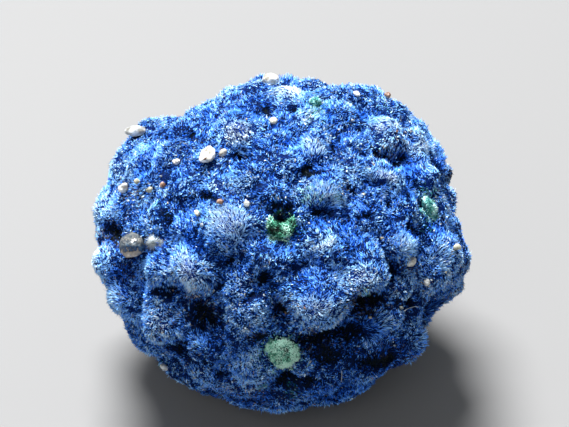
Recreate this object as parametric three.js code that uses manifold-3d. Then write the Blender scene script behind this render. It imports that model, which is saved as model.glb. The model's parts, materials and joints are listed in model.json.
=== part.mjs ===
// An azurite nodule, one inch across: a rough ball of grown-together azurite with a lumpy surface,
// hollows between the lumps, small growths of malachite and grains of quartz sand held in the surface.
// Millimetres, +Z up. It rests on its lowest lumps, which are worn flat at z = 0.
import * as THREE from 'three';
import { mergeVertices } from 'three/addons/utils/BufferGeometryUtils.js';
import Module from 'manifold-3d';

const wasm = await Module();
wasm.setup();

// Driving sizes
const halfWidth = 11.75;
const halfDepth = 11.2;
const halfHeight = 10.2;
const lumpSpread = 1.08; // width of every lump against its listed radius
const lumpRise = 1.25; // height of every lump against its listed height
const hollowSpread = 1.5; // width of every hollow against its listed halves
const hollowReach = 2.5; // a hollow ends where the ball curves this far away from its middle
const unevenness = 0.16; // how far lumps and hollows are pushed out of round
const wornDepth = 0.9; // how much of the lowest lumps is worn away
const gap = 0.04; // clearance between the azurite and the malachite that lines its pocket
const socketRoom = 0.065; // how much larger each half of a socket is than the grain or growth in it
const bodyDetail = 16; // cuts along each edge of the icosahedron that the ball starts from
const nearPull = 0.28; // how far its corners are drawn towards the near side, which has the finest forms
const pocketDetail = 1;

// The near side is described as seen by an eye in front of the nodule and above it:
// places are millimetres to the right of its middle and above it, in the plane through the middle.
const eyeElevation = THREE.MathUtils.degToRad(38);
const eyeDistance = 240;
const toEye = new THREE.Vector3(0, -Math.cos(eyeElevation), Math.sin(eyeElevation));
const rightward = new THREE.Vector3(1, 0, 0);
const upward = new THREE.Vector3().crossVectors(toEye, rightward);

// Broad swells and hollows of the whole ball: [right, up, radius, height]
const swells = [
  [12.3, 0.9, 2.6, 0.45],
  [11.4, 4.0, 3.6, -0.65],
  [9.9, 7.2, 4.6, 0.15],
  [8.2, 9.2, 3.0, 0.3],
  [5.0, 10.4, 3.0, 0.45],
  [2.2, 11.0, 4.0, -1.1],
  [-1.2, 11.2, 3.0, -0.4],
  [-5.8, 9.4, 3.6, -0.8],
  [-9.3, 8.0, 3.0, 0.1],
  [-10.6, 6.9, 2.0, 0.3],
  [-11.4, 5.0, 3.4, 0.55],
  [-12.5, -1.4, 3.2, 0.35],
  [-9.3, -7.4, 3.2, 0.65],
  [-7.0, -9.0, 3.6, -1.3],
  [-2.2, -11.2, 3.2, 0.65],
  [3.0, -11.2, 2.6, 0.35],
  [4.9, -10.4, 3.0, 0.6],
  [12.5, -2.2, 3.2, 1.2],
  [10.8, -4.6, 4.2, -1.4],
  [9.2, -6.9, 3.0, -0.2],
  [2.6, -3.2, 3.2, 0.7],
  [5.6, -1.4, 3.2, 0.5],
  [3.8, -6.3, 3.2, -0.9],
];
// The same on the far side: [degrees round from the front (anticlockwise from above),
// degrees above the middle, radius, height]
const farSwells = [
  [218, 26, 3.6, -1.3],
  [79, -25, 2.8, -1.2],
  [55, -45, 2.4, -0.7],
  [277, -20, 2.4, -0.6],
  [304, -40, 2.6, -0.4],
];

// Lumps on the near side: [right, up, radius, height]
const nearLumps = [
  [-7.85, 8.3, 1.1, 0.7],
  [-9.95, 6.6, 1.2, 0.6],
  [-5.7, 8.85, 1.5, 0.6],
  [-3.5, 9.9, 1.7, 0.7],
  [-1.25, 10.5, 1.7, 0.8],
  [0.45, 9.9, 1.3, 0.8],
  [3.2, 10.0, 2.3, 0.9],
  [5.7, 9.9, 1.4, 0.5],
  [6.5, 8.8, 1.2, 0.7],
  [8.3, 8.8, 1.5, 0.5],
  [9.9, 6.9, 1.5, 0.55],
  [11.0, 5.0, 1.5, 0.5],
  [-2.85, 7.6, 1.8, 0.9],
  [-6.5, 7.5, 1.3, 0.6],
  [-7.2, 6.1, 1.5, 0.6],
  [-9.3, 5.4, 1.3, 0.5],
  [1.85, 8.2, 1.3, 0.8],
  [4.2, 8.6, 1.4, 0.6],
  [-0.85, 6.9, 1.3, 0.5],
  [2.25, 6.4, 1.4, 1.0],
  [4.4, 6.6, 1.2, 0.6],
  [6.85, 7.4, 1.4, 0.9],
  [8.75, 6.4, 1.4, 0.8],
  [0.6, 5.2, 1.2, 0.7],
  [4.7, 4.8, 1.5, 0.8],
  [7.05, 4.5, 1.4, 0.9],
  [9.55, 4.3, 1.3, 0.7],
  [-5.0, 5.5, 1.3, 0.5],
  [-2.25, 4.6, 1.4, 0.9],
  [-4.4, 3.6, 1.2, 0.7],
  [-6.6, 3.8, 1.5, 0.55],
  [-8.85, 4.1, 1.3, 0.5],
  [-10.8, 5.2, 1.2, 0.5],
  [-11.5, 2.6, 1.4, 0.6],
  [-8.1, 1.9, 1.4, 0.5],
  [-6.0, 0.8, 1.2, 0.7],
  [-3.35, 1.6, 2.1, 1.15],
  [-0.7, 3.3, 1.2, 0.6],
  [-1.3, 1.4, 1.0, 0.6],
  [1.5, 1.8, 1.1, 0.7],
  [2.7, 3.4, 1.7, 1.0],
  [5.6, 2.0, 1.5, 0.7],
  [8.2, 2.4, 1.2, 0.6],
  [10.6, 2.1, 1.5, 0.65],
  [2.9, 0.1, 1.8, 0.9],
  [7.7, 0.0, 1.6, 0.9],
  [10.6, -0.9, 2.1, 1.0],
  [5.55, -1.7, 1.9, 1.0],
  [7.9, -2.9, 1.3, 0.7],
  [2.6, -4.0, 2.3, 1.25],
  [0.5, -3.0, 1.2, 0.5],
  [-0.85, -0.9, 1.6, 0.7],
  [-3.0, -2.8, 1.2, 0.6],
  [-2.2, -4.75, 1.5, 0.8],
  [-5.95, -1.45, 1.6, 1.0],
  [-8.0, -1.6, 1.2, 0.8],
  [-11.1, -1.2, 1.7, 1.0],
  [-10.5, -3.6, 1.6, 0.9],
  [-8.1, -3.7, 1.2, 0.6],
  [-8.0, -5.4, 1.7, 1.1],
  [-6.2, -4.9, 0.9, 0.5],
  [-5.0, -6.8, 1.5, 0.8],
  [-2.7, -6.4, 1.3, 0.6],
  [-5.15, -8.8, 1.5, 0.7],
  [-1.7, -8.0, 1.7, 0.9],
  [-2.5, -9.5, 1.3, 0.6],
  [1.25, -7.9, 1.2, 0.5],
  [7.2, -4.9, 1.1, 0.9],
  [5.95, -5.8, 1.0, 0.7],
  [8.6, -6.6, 1.7, 0.9],
  [6.2, -8.0, 1.8, 0.7],
  [4.2, -7.4, 1.4, 0.5],
  [2.45, -9.2, 1.7, 0.7],
  [0.4, -10.3, 1.9, 0.6],
];

// Hollows on the near side, cut into the ball between the lumps:
// [right, up, half width, half height, depth, turn in degrees]
const nearHollows = [
  [-11.2, 0.6, 0.65, 0.8, 1.3, 0],
  [7.4, 5.6, 1.1, 0.5, 0.9, -15],
  [-7.5, -3.0, 1.0, 0.45, 0.8, -10],
  [-5.2, -4.5, 1.1, 1.25, 1.3, 20],
  [-7.0, -6.9, 1.1, 0.55, 1.0, -10],
  [0.1, -4.6, 0.75, 0.85, 1.2, 20],
  [5.9, -3.8, 1.5, 0.75, 1.5, 10],
  [8.6, -4.1, 1.1, 0.6, 1.4, 15],
  [3.2, -6.3, 2.1, 0.85, 1.5, 8],
  [7.3, -1.7, 0.5, 1.0, 1.0, 20],
  [3.0, 2.3, 1.0, 0.45, 0.7, 10],
  [-0.85, 8.9, 0.75, 0.5, 0.8, 0],
  [1.05, 9.0, 0.7, 0.5, 0.8, 0],
  [-2.7, 6.0, 0.6, 0.6, 0.8, 0],
  [0.6, -8.8, 0.65, 0.5, 0.8, 0],
  [-6.8, 2.5, 1.4, 0.35, 0.6, 5],
  [-9.35, -2.0, 0.35, 2.3, 0.8, 4],
  [-6.4, -3.2, 0.9, 0.35, 0.6, -35],
  [9.1, 7.0, 1.3, 0.32, 0.75, -43],
  [10.1, 5.1, 1.2, 0.32, 0.75, -79],
  [9.7, 2.5, 0.35, 1.3, 0.6, -10],
  [-1.2, -2.2, 0.5, 0.45, 0.8, 0],
  [3.8, 6.9, 0.4, 0.4, 0.8, 0],
];

// The far side and the underside have lumps and dents like the near side's, spread evenly
const farCandidates = 300;
const farLump = { radius: [1.0, 1.8], height: [0.5, 1.25] };
const farDentEvery = 8;
const farDent = { radius: [1.0, 1.8], depth: [0.7, 1.3] };
const nearSideBegins = -0.02; // share of the way towards the eye from which lumps are placed by hand
const seed = 20731;

// Grains of sand: [name, right, up, length, width, thickness, turn in degrees, colour]. Those marked
// level lie flat on top of a lump, and the others as the surface slopes.
const sandGrains = [
  ['sand_grain_crest', -0.72, 11.2, 1.35, 0.9, 0.95, 0, 'white'],
  ['sand_grain_left_shoulder', -9.75, 7.4, 1.65, 0.9, 0.75, 8, 'grey', 'level'],
  ['sand_grain_pierced', -4.83, 5.88, 1.15, 1.35, 0.7, 20, 'white'],
  ['sand_grain_beside_pierced', -3.8, 6.0, 0.55, 0.8, 0.6, -10, 'white'],
  ['sand_grain_upper_middle', -0.5, 8.08, 0.8, 0.75, 0.6, 30, 'cream'],
  ['sand_grain_upper_left', -6.9, 5.4, 0.85, 0.5, 0.5, 40, 'white'],
  ['sand_grain_left_cluster', -10.35, 3.6, 0.95, 1.1, 0.8, -20, 'grey'],
  ['sand_grain_left_pale', -9.5, 4.1, 0.6, 0.5, 0.5, 10, 'cream'],
  ['sand_grain_left_yellow', -8.65, 3.55, 0.5, 0.65, 0.5, 0, 'cream'],
  ['sand_grain_left_rose', -7.8, 3.9, 0.55, 0.5, 0.45, 0, 'rust'],
  ['sand_grain_rust', -4.0, 2.8, 0.7, 0.5, 0.5, 10, 'rust'],
  ['sand_grain_above_tuft', -2.25, 2.65, 0.55, 0.6, 0.5, -10, 'grey'],
  ['sand_grain_beside_tuft', -5.55, 2.05, 0.6, 0.45, 0.45, -30, 'cream'],
  ['sand_grain_great', -9.65, -0.12, 2.25, 1.82, 1.65, 40, 'grey'],
  ['sand_grain_great_neighbour', -8.3, 0.05, 0.8, 0.9, 0.7, 20, 'white'],
  ['sand_grain_upper_right', 4.98, 9.86, 0.8, 0.5, 0.45, -10, 'white'],
  ['sand_grain_right_crest', 7.05, 9.75, 0.7, 0.6, 0.5, -40, 'rust'],
  ['sand_grain_right_hollow', 8.55, -1.2, 1.0, 0.6, 0.6, 5, 'cream'],
  ['sand_grain_right_edge', 11.6, -0.25, 0.98, 0.55, 0.55, -35, 'cream'],
  ['sand_grain_right_low', 9.6, -2.55, 0.7, 0.6, 0.5, 0, 'grey'],
];

// The same on the far side: [name, degrees round, degrees above the middle, length, width,
// thickness, turn, colour]
const farSandGrains = [
  ['sand_grain_back_great', 205, 12, 1.5, 1.3, 1.1, 25, 'grey'],
  ['sand_grain_back_white', 158, 18, 1.0, 0.85, 0.7, -20, 'white'],
  ['sand_grain_back_left', 232, 40, 0.8, 0.6, 0.6, 45, 'cream'],
  ['sand_grain_back_low', 186, -18, 0.9, 0.7, 0.6, 10, 'cream'],
  ['sand_grain_back_rust', 148, 8, 0.7, 0.55, 0.5, -35, 'rust'],
  ['sand_grain_right_back', 130, 24, 1.1, 0.8, 0.7, 60, 'white'],
  ['sand_grain_right_side', 96, -12, 0.7, 0.6, 0.5, 15, 'grey'],
  ['sand_grain_left_back', 250, 6, 0.9, 0.75, 0.7, -15, 'white'],
  ['sand_grain_left_side', 283, -22, 0.65, 0.6, 0.5, 30, 'cream'],
  ['sand_grain_front_low', 304, -34, 0.9, 0.6, 0.5, 0, 'grey'],
];

// Malachite growths that fill a place in the surface: [name, right, up, width, height, thickness, turn]
const malachiteGrowths = [
  ['malachite_disc', 0.03, -7.36, 2.6, 2.4, 1.0, -20],
  ['malachite_vein', 9.95, 2.3, 0.7, 1.85, 0.9, -12],
  ['malachite_crest', 2.3, 9.4, 0.7, 1.0, 0.8, 0],
];
// [name, degrees round, degrees above the middle, width, height, thickness, turn]
const farMalachiteGrowths = [
  ['malachite_back_disc', 176, 14, 1.9, 1.6, 0.9, 30],
  ['malachite_back_vein', 222, -8, 0.7, 1.5, 0.8, 40],
  ['malachite_side', 110, 2, 1.0, 0.8, 0.7, 0],
];

// The malachite pocket: a deep hollow with green crystals along its lower side
const pocket = { right: 0.05, up: 1.45, half: 1.05, depth: 1.5 };
const pocketMouth = { rise: 0.5, half: 0.82, out: 0.35 }; // what stays open, above the lining

const colours = {
  azurite: new THREE.MeshStandardMaterial({ color: 0x2149b4, roughness: 0.6, metalness: 0 }),
  malachite: new THREE.MeshStandardMaterial({ color: 0x6fb38a, roughness: 0.65, metalness: 0 }),
  white: new THREE.MeshStandardMaterial({ color: 0xf1efea, roughness: 0.45, metalness: 0 }),
  cream: new THREE.MeshStandardMaterial({ color: 0xd9d2b8, roughness: 0.5, metalness: 0 }),
  grey: new THREE.MeshStandardMaterial({ color: 0xa9a69c, roughness: 0.4, metalness: 0 }),
  rust: new THREE.MeshStandardMaterial({ color: 0xb08468, roughness: 0.6, metalness: 0 }),
};

// A repeatable stream of numbers from 0 to 1
function numbersFrom(start) {
  let state = start;
  return () => {
    state = (state + 0x6d2b79f5) | 0;
    let t = Math.imul(state ^ (state >>> 15), 1 | state);
    t = (t + Math.imul(t ^ (t >>> 7), 61 | t)) ^ t;
    return ((t ^ (t >>> 14)) >>> 0) / 4294967296;
  };
}

const between = ([low, high], share) => low + (high - low) * share;

// Distance from the ball's middle to its plain outline, an ellipsoid, in direction d
function plainRadius(d) {
  return 1 / Math.hypot(d.x / halfWidth, d.y / halfDepth, d.z / halfHeight);
}

// Where the eye's line through a place meets the surface that radiusOf describes.
// A line that passes beside the ball is brought in to its edge.
function seenAt(right, up, radiusOf) {
  const eye = toEye.clone().multiplyScalar(eyeDistance);
  const step = 0.02;
  for (let share = 1; share > 0.8; share -= 0.004) {
    const target = rightward.clone().multiplyScalar(right * share).addScaledVector(upward, up * share);
    const along = target.clone().sub(eye).normalize();
    const nearest = -eye.dot(along);
    for (let s = nearest - halfWidth * 1.3; s < nearest; s += step) {
      const p = eye.clone().addScaledVector(along, s);
      if (p.length() < radiusOf(p.clone().normalize())) return p;
    }
  }
  throw new Error(`nothing is seen at ${right}, ${up}`);
}

// Where a direction from the middle, given in degrees, meets that surface
function facing(round, above, radiusOf) {
  const a = THREE.MathUtils.degToRad(round);
  const e = THREE.MathUtils.degToRad(above);
  const d = new THREE.Vector3(Math.sin(a) * Math.cos(e), -Math.cos(a) * Math.cos(e), Math.sin(e));
  return d.multiplyScalar(radiusOf(d));
}

function onNearSide([right, up, radius, height]) {
  return { at: shifted(seenAt(right, up, plainRadius)), radius, height };
}

function onFarSide([round, above, radius, height]) {
  return { at: shifted(facing(round, above, plainRadius)), radius, height };
}

const broad = [...swells.map(onNearSide), ...farSwells.map(onFarSide)];
const lumps = nearLumps.map(onNearSide);
const dents = [];
const hollows = nearHollows.map(([right, up, halfAcross, halfUp, depth, turn]) => {
  const at = seenAt(right, up, plainRadius);
  const across = new THREE.Vector3();
  const along = new THREE.Vector3();
  const out = new THREE.Vector3();
  setting(at, turn).extractBasis(across, along, out);
  const halves = [halfAcross * hollowSpread, halfUp * hollowSpread];
  return { at: shifted(at), across, along, out, halves, depth };
});

// Far lumps and dents lie on a spiral from pole to pole, each moved a little by the seeded numbers
function addFarSide() {
  const next = numbersFrom(seed);
  const goldenTurn = Math.PI * (3 - Math.sqrt(5));
  for (let i = 0; i < farCandidates; i++) {
    const z = 1 - (2 * (i + 0.5)) / farCandidates;
    const turn = i * goldenTurn + 0.35 * (next() - 0.5);
    const flat = Math.sqrt(1 - z * z);
    const d = new THREE.Vector3(flat * Math.cos(turn), flat * Math.sin(turn), z);
    const size = next();
    const rise = next();
    if (d.dot(toEye) > nearSideBegins) continue;
    const at = d.clone().multiplyScalar(plainRadius(d));
    if (i % farDentEvery === 0 && z > -0.85) {
      dents.push({ at, radius: between(farDent.radius, size), depth: between(farDent.depth, rise) });
    } else {
      lumps.push({ at, radius: between(farLump.radius, size), height: between(farLump.height, rise) });
    }
  }
}
addFarSide();

// A small, slowly changing shift that keeps lumps and hollows from being perfectly round
function shifted(p) {
  const { x, y, z } = p;
  return new THREE.Vector3(
    x + unevenness * (Math.sin(1.9 * y + 0.7 * z) + 0.6 * Math.sin(3.7 * z + 1.3 * x)),
    y + unevenness * (Math.sin(2.1 * z + 1.1 * x) + 0.6 * Math.sin(3.3 * x + 1.7 * y)),
    z + unevenness * (Math.sin(1.7 * x + 1.3 * y) + 0.6 * Math.sin(3.5 * y + 0.9 * z)),
  );
}

// Distance from the middle to the lumpy surface. Where lumps overlap, the highest one shows.
function lumpyRadius(d) {
  const plain = plainRadius(d);
  const p = shifted(d.clone().multiplyScalar(plain));
  let swell = 0;
  for (const { at, radius, height } of broad) {
    const q = p.distanceTo(at) / radius;
    if (q < 1) swell += height * (1 - q * q) ** 2;
  }
  let cap = 0;
  for (const { at, radius, height } of lumps) {
    const q = p.distanceTo(at) / (radius * lumpSpread);
    if (q < 1) cap = Math.max(cap, lumpRise * height * (1 - q * q) ** 0.8);
  }
  let dent = 0;
  for (const { at, radius, depth } of dents) {
    const q = p.distanceTo(at) / radius;
    if (q < 1) dent = Math.max(dent, depth * (1 - q * q) ** 1.5);
  }
  for (const { at, across, along, out, halves, depth } of hollows) {
    const from = p.clone().sub(at);
    const level = Math.hypot(from.dot(across) / halves[0], from.dot(along) / halves[1]);
    const q = Math.hypot(level, from.dot(out) / hollowReach);
    if (q < 1) dent = Math.max(dent, depth * (1 - q * q) ** 1.5);
  }
  return plain + swell + cap - dent;
}

// A solid from a geometry whose vertices are merged
function solidOf(geometry) {
  const g = geometry.clone();
  g.deleteAttribute('normal');
  g.deleteAttribute('uv');
  const merged = mergeVertices(g, 1e-5);
  return new wasm.Manifold(
    new wasm.Mesh({
      numProp: 3,
      vertProperties: new Float32Array(merged.getAttribute('position').array),
      triVerts: new Uint32Array(merged.index.array),
    }),
  );
}

function geometryOf(solid) {
  const mesh = solid.getMesh();
  const positions = new Float32Array(mesh.numVert * 3);
  for (let i = 0; i < mesh.numVert; i++) {
    positions.set(mesh.vertProperties.subarray(i * mesh.numProp, i * mesh.numProp + 3), i * 3);
  }
  const g = new THREE.BufferGeometry();
  g.setAttribute('position', new THREE.BufferAttribute(positions, 3));
  g.setIndex(new THREE.BufferAttribute(new Uint32Array(mesh.triVerts), 1));
  g.computeVertexNormals();
  return g;
}

// Axes for a thing set in the surface at p: x to the right, y up the surface and z out of it
function setting(p, turn) {
  const out = new THREE.Vector3(p.x / halfWidth ** 2, p.y / halfDepth ** 2, p.z / halfHeight ** 2);
  out.normalize();
  const helper = Math.abs(out.z) > 0.95 ? new THREE.Vector3(0, 1, 0) : new THREE.Vector3(0, 0, 1);
  const side = new THREE.Vector3().crossVectors(helper, out).normalize();
  const above = new THREE.Vector3().crossVectors(out, side);
  const angle = THREE.MathUtils.degToRad(turn);
  const x = side.clone().multiplyScalar(Math.cos(angle)).addScaledVector(above, Math.sin(angle));
  return new THREE.Matrix4().makeBasis(x, new THREE.Vector3().crossVectors(out, x), out);
}

// A faceted ellipsoid with the given halves, set in the surface at p and moved out of it
function ellipsoidAt(p, halves, turn, out, detail) {
  return new THREE.IcosahedronGeometry(1, detail)
    .scale(...halves)
    .translate(0, 0, out)
    .applyMatrix4(setting(p, turn))
    .translate(p.x, p.y, p.z);
}

// An angular pebble set in the surface at p, which lies as the surface slopes there or at another place.
// The same number always gives the same pebble.
function pebble(p, halves, turn, out, detail, roughness, number, slope = p) {
  const next = numbersFrom(seed + number * 97);
  const g = new THREE.IcosahedronGeometry(1, detail);
  g.deleteAttribute('normal');
  g.deleteAttribute('uv');
  const merged = mergeVertices(g, 1e-4);
  const position = merged.getAttribute('position');
  for (let i = 0; i < position.count; i++) {
    const k = 1 - roughness * next();
    position.setXYZ(i, position.getX(i) * k, position.getY(i) * k, position.getZ(i) * k);
  }
  return merged
    .scale(...halves)
    .translate(0, 0, out)
    .applyMatrix4(setting(slope, turn))
    .translate(p.x, p.y, p.z);
}

const inset = []; // {name, solid, socket, colour} of everything set in the azurite

const largeGrain = 1.0; // length from which a grain gets the finer pebble
const proud = 0.35; // share of a grain's half thickness by which its middle stands out of the surface
const sunk = 0.35; // the same share by which a malachite growth's middle lies under it
const grainRoughness = 0.22; // how far a pebble's corners are drawn in, at most, as a share
const growthRoughness = 0.12;
const ballTop = new THREE.Vector3(0, 0, halfHeight);

function addGrain(name, p, length, width, thickness, turn, colour, lie) {
  const halves = [length / 2, width / 2, thickness / 2];
  const detail = length >= largeGrain ? 1 : 0;
  const out = halves[2] * proud;
  const grown = (more) => halves.map((h) => h + more);
  const slope = lie === 'level' ? ballTop : p;
  const make = (more) =>
    solidOf(pebble(p, grown(more), turn, out, detail, grainRoughness, inset.length, slope));
  inset.push({ name, solid: make(0), socket: make(socketRoom), colour });
}

for (const [name, right, up, ...rest] of sandGrains) {
  addGrain(name, seenAt(right, up, lumpyRadius), ...rest);
}
for (const [name, round, above, ...rest] of farSandGrains) {
  addGrain(name, facing(round, above, lumpyRadius), ...rest);
}

function addMalachite(name, p, width, height, thickness, turn) {
  const halves = [width / 2, height / 2, thickness / 2];
  const out = -halves[2] * sunk;
  const grown = (more) => halves.map((h) => h + more);
  const make = (more) => solidOf(pebble(p, grown(more), turn, out, 1, growthRoughness, inset.length));
  inset.push({ name, solid: make(0), socket: make(socketRoom), colour: 'malachite' });
}

for (const [name, right, up, ...rest] of malachiteGrowths) {
  addMalachite(name, seenAt(right, up, lumpyRadius), ...rest);
}
for (const [name, round, above, ...rest] of farMalachiteGrowths) {
  addMalachite(name, facing(round, above, lumpyRadius), ...rest);
}

// The pocket's lining is the lower part of the hollow's own shape, with the mouth left open
const pocketAt = seenAt(pocket.right, pocket.up, lumpyRadius);
const pocketShape = (more) => {
  const halves = [pocket.half, pocket.half, pocket.depth].map((h) => h + more);
  return solidOf(pebble(pocketAt, halves, 0, 0, pocketDetail, 0.16, 5));
};

function pocketLining() {
  const whole = pocketShape(-gap);
  const mouthHalves = [pocketMouth.half, pocketMouth.half, pocket.depth];
  const raised = pocketAt.clone().addScaledVector(upward, pocketMouth.rise);
  const mouth = solidOf(ellipsoidAt(raised, mouthHalves, 0, pocketMouth.out, pocketDetail));
  const upperHalf = new THREE.BoxGeometry(4, 2, 8).translate(0, 1 + pocket.half * 0.25, 0);
  upperHalf.applyMatrix4(setting(pocketAt, 0)).translate(pocketAt.x, pocketAt.y, pocketAt.z);
  const proudPart = new THREE.BoxGeometry(4, 4, 4).translate(0, 0, 2 + 0.2);
  proudPart.applyMatrix4(setting(pocketAt, 0)).translate(pocketAt.x, pocketAt.y, pocketAt.z);
  return whole.subtract(mouth).subtract(solidOf(upperHalf)).subtract(solidOf(proudPart));
}

function azuriteBall() {
  const g = new THREE.IcosahedronGeometry(1, bodyDetail);
  g.deleteAttribute('normal');
  g.deleteAttribute('uv');
  const merged = mergeVertices(g, 1e-5);
  const position = merged.getAttribute('position');
  for (let i = 0; i < position.count; i++) {
    const d = new THREE.Vector3().fromBufferAttribute(position, i);
    d.addScaledVector(toEye, nearPull).normalize();
    const p = d.clone().multiplyScalar(lumpyRadius(d));
    position.setXYZ(i, p.x, p.y, p.z);
  }
  let ball = solidOf(merged);
  ball = ball.subtract(pocketShape(0));
  for (const { socket } of inset) ball = ball.subtract(socket);
  const lowest = ball.boundingBox().min[2];
  const worn = new THREE.BoxGeometry(40, 40, 4).translate(0, 0, lowest + wornDepth - 2);
  return ball.subtract(solidOf(worn));
}

function named(name, solid, colour) {
  const mesh = new THREE.Mesh(geometryOf(solid), colours[colour]);
  mesh.name = name;
  return mesh;
}

const nodule = new THREE.Group();
nodule.add(named('azurite_nodule', azuriteBall(), 'azurite'));
for (const { name, solid, colour } of inset) nodule.add(named(name, solid, colour));
nodule.add(named('malachite_pocket_lining', pocketLining(), 'malachite'));

// The origin is on the surface that the nodule rests on, under the middle of its width and depth
const bounds = new THREE.Box3().setFromObject(nodule);
nodule.position.set(
  -(bounds.min.x + bounds.max.x) / 2,
  -(bounds.min.y + bounds.max.y) / 2,
  -bounds.min.z,
);

export default nodule;
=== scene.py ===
# The looks of an azurite nodule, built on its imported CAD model.
# Lengths are millimetres in the CAD model's frame until a mesh is written, and the scene is in metres.
import json
import math

import bpy
import numpy as np
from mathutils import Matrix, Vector
from mathutils.bvhtree import BVHTree


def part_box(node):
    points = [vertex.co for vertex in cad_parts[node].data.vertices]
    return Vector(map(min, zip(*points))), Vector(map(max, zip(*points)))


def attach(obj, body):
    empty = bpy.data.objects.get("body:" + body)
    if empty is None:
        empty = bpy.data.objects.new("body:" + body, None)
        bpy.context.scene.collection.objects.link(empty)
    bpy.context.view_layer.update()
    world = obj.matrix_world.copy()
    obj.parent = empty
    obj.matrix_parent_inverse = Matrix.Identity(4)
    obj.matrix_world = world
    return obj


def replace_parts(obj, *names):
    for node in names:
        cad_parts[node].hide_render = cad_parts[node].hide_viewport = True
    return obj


MM = 0.001
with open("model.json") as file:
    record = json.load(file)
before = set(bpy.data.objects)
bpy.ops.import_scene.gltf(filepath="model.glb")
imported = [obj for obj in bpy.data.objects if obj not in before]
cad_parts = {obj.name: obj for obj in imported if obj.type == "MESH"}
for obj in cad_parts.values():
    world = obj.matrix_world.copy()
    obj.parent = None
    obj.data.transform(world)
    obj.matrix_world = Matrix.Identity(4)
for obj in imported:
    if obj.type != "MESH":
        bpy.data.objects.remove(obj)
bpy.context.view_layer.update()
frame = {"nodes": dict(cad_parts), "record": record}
rng = np.random.default_rng(41)

# The eye that the near side is described for, as in the CAD model
EYE_ELEVATION = math.radians(38)
EYE_DISTANCE = 240.0
BALL_MIDDLE = np.array([-0.09, 0.16, 10.51])
TO_EYE = np.array([0.0, -math.cos(EYE_ELEVATION), math.sin(EYE_ELEVATION)])
RIGHT = np.array([1.0, 0.0, 0.0])
UP = np.cross(TO_EYE, RIGHT)

# The azurite's surface
GRID = 72  # squares along each of the six sides of the grid that the ground is drawn on
GROUND_INSET = 0.2  # how far the ground lies under the CAD surface, which the crystals fill
FLOOR_CLEARANCE = 0.01

# Crystals
BLADES = 168_000
BLADE_PIECES = 3
CHIPS = 164_000
CHIP_PIECES = 2
MALACHITE_CRYSTALS = 11_000

# Places of the near side as the eye sees them, in millimetres from the ball's middle

# Pale felt, partly the azurite's own paler crystals and partly painted light on the tops and on shaded lower
# sides of lumps: (right, up, half width, half height, how much)
PALE_AND_PAINTED_LIGHT_PATCHES = [
    (-3.5, 1.4, 1.7, 1.5, 1.0), (-2.7, 4.3, 1.3, 0.7, 0.7), (-3.0, 7.4, 1.5, 0.8, 1.3),
    (0.7, 10.3, 1.5, 0.9, 1.1),
    (-3.7, 9.8, 1.0, 0.7, 0.4), (2.3, 6.4, 1.1, 0.8, 1.0), (1.8, 8.3, 0.8, 0.6, 0.8),
    (6.9, 9.3, 0.7, 0.5, 0.6),
    (6.9, 7.9, 1.0, 0.7, 1.0), (9.1, 6.4, 1.0, 0.7, 1.0), (9.5, 8.0, 0.9, 0.4, 0.5),
    (0.7, 5.4, 0.8, 0.6, 0.5),
    (1.6, 3.1, 0.9, 0.6, 0.8), (2.8, 3.7, 1.2, 0.6, 0.7), (4.7, 4.5, 1.2, 0.7, 0.7),
    (7.0, 4.6, 1.1, 0.9, 1.2),
    (8.5, 0.0, 0.9, 0.9, 0.7), (-6.4, -1.5, 0.6, 1.5, 1.2), (-6.0, -2.8, 0.9, 0.8, 0.7),
    (-12.2, -1.3, 0.6, 1.3, 1.0), (-12.1, 1.3, 0.6, 1.2, 1.0), (-11.3, 1.9, 0.7, 0.4, 0.8),
    (-11.2, -4.0, 0.6, 1.1, 0.8), (-9.9, -4.9, 0.8, 0.5, 0.5),
    (-7.6, -2.0, 1.1, 0.9, 0.2), (-9.3, -1.8, 0.4, 1.5, 1.0),
    (-5.2, -1.3, 0.5, 0.5, 0.5), (2.7, -0.1, 1.4, 0.5, 1.1), (5.0, -2.1, 1.5, 0.8, 0.9),
    (2.2, -4.4, 1.7, 0.9, 0.9),
    (10.6, -1.0, 1.2, 1.0, 0.5), (-8.0, -5.3, 1.2, 1.0, 0.8), (-1.3, -4.6, 0.7, 0.7, 0.5),
    (-2.2, -7.8, 1.2, 0.9, 0.4),
    (-5.4, -8.8, 0.9, 0.5, 0.5), (-2.2, -9.4, 1.8, 0.6, 0.4), (-10.7, 4.9, 1.0, 1.3, 0.9),
    (-11.8, 2.6, 0.7, 1.3, 0.7),
    (-8.6, 6.4, 0.8, 0.5, 0.4), (-8.0, 8.3, 0.9, 0.6, 0.5), (-2.1, -2.3, 0.7, 0.5, 0.4),
    (1.3, -0.7, 0.9, 0.55, 0.9), (3.9, 2.8, 1.1, 0.7, 0.9), (7.2, 6.9, 1.0, 0.6, 0.9),
    (-4.4, 3.9, 0.9, 0.5, 0.8), (-9.1, 2.8, 0.7, 0.5, 0.8), (0.7, 4.8, 0.8, 0.4, 0.8),
    (9.4, -2.2, 0.7, 0.9, 0.7), (-1.6, -7.3, 0.6, 0.6, 0.8), (-10.1, -2.8, 0.5, 0.8, 0.6),
    (5.8, 4.8, 0.6, 0.4, 0.7), (-6.3, 3.7, 0.7, 0.4, 0.6), (-0.1, 0.25, 0.9, 0.35, 1.4),
    (5.8, 1.1, 0.8, 0.4, 0.7), (4.8, 9.4, 0.7, 0.4, 0.6), (7.6, 3.8, 0.6, 0.4, 0.6),
    (2.1, 0.1, 0.9, 0.4, 0.7), (-5.4, -2.6, 0.7, 0.5, 0.6), (3.9, 8.5, 0.6, 0.4, 0.6),
]
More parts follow.
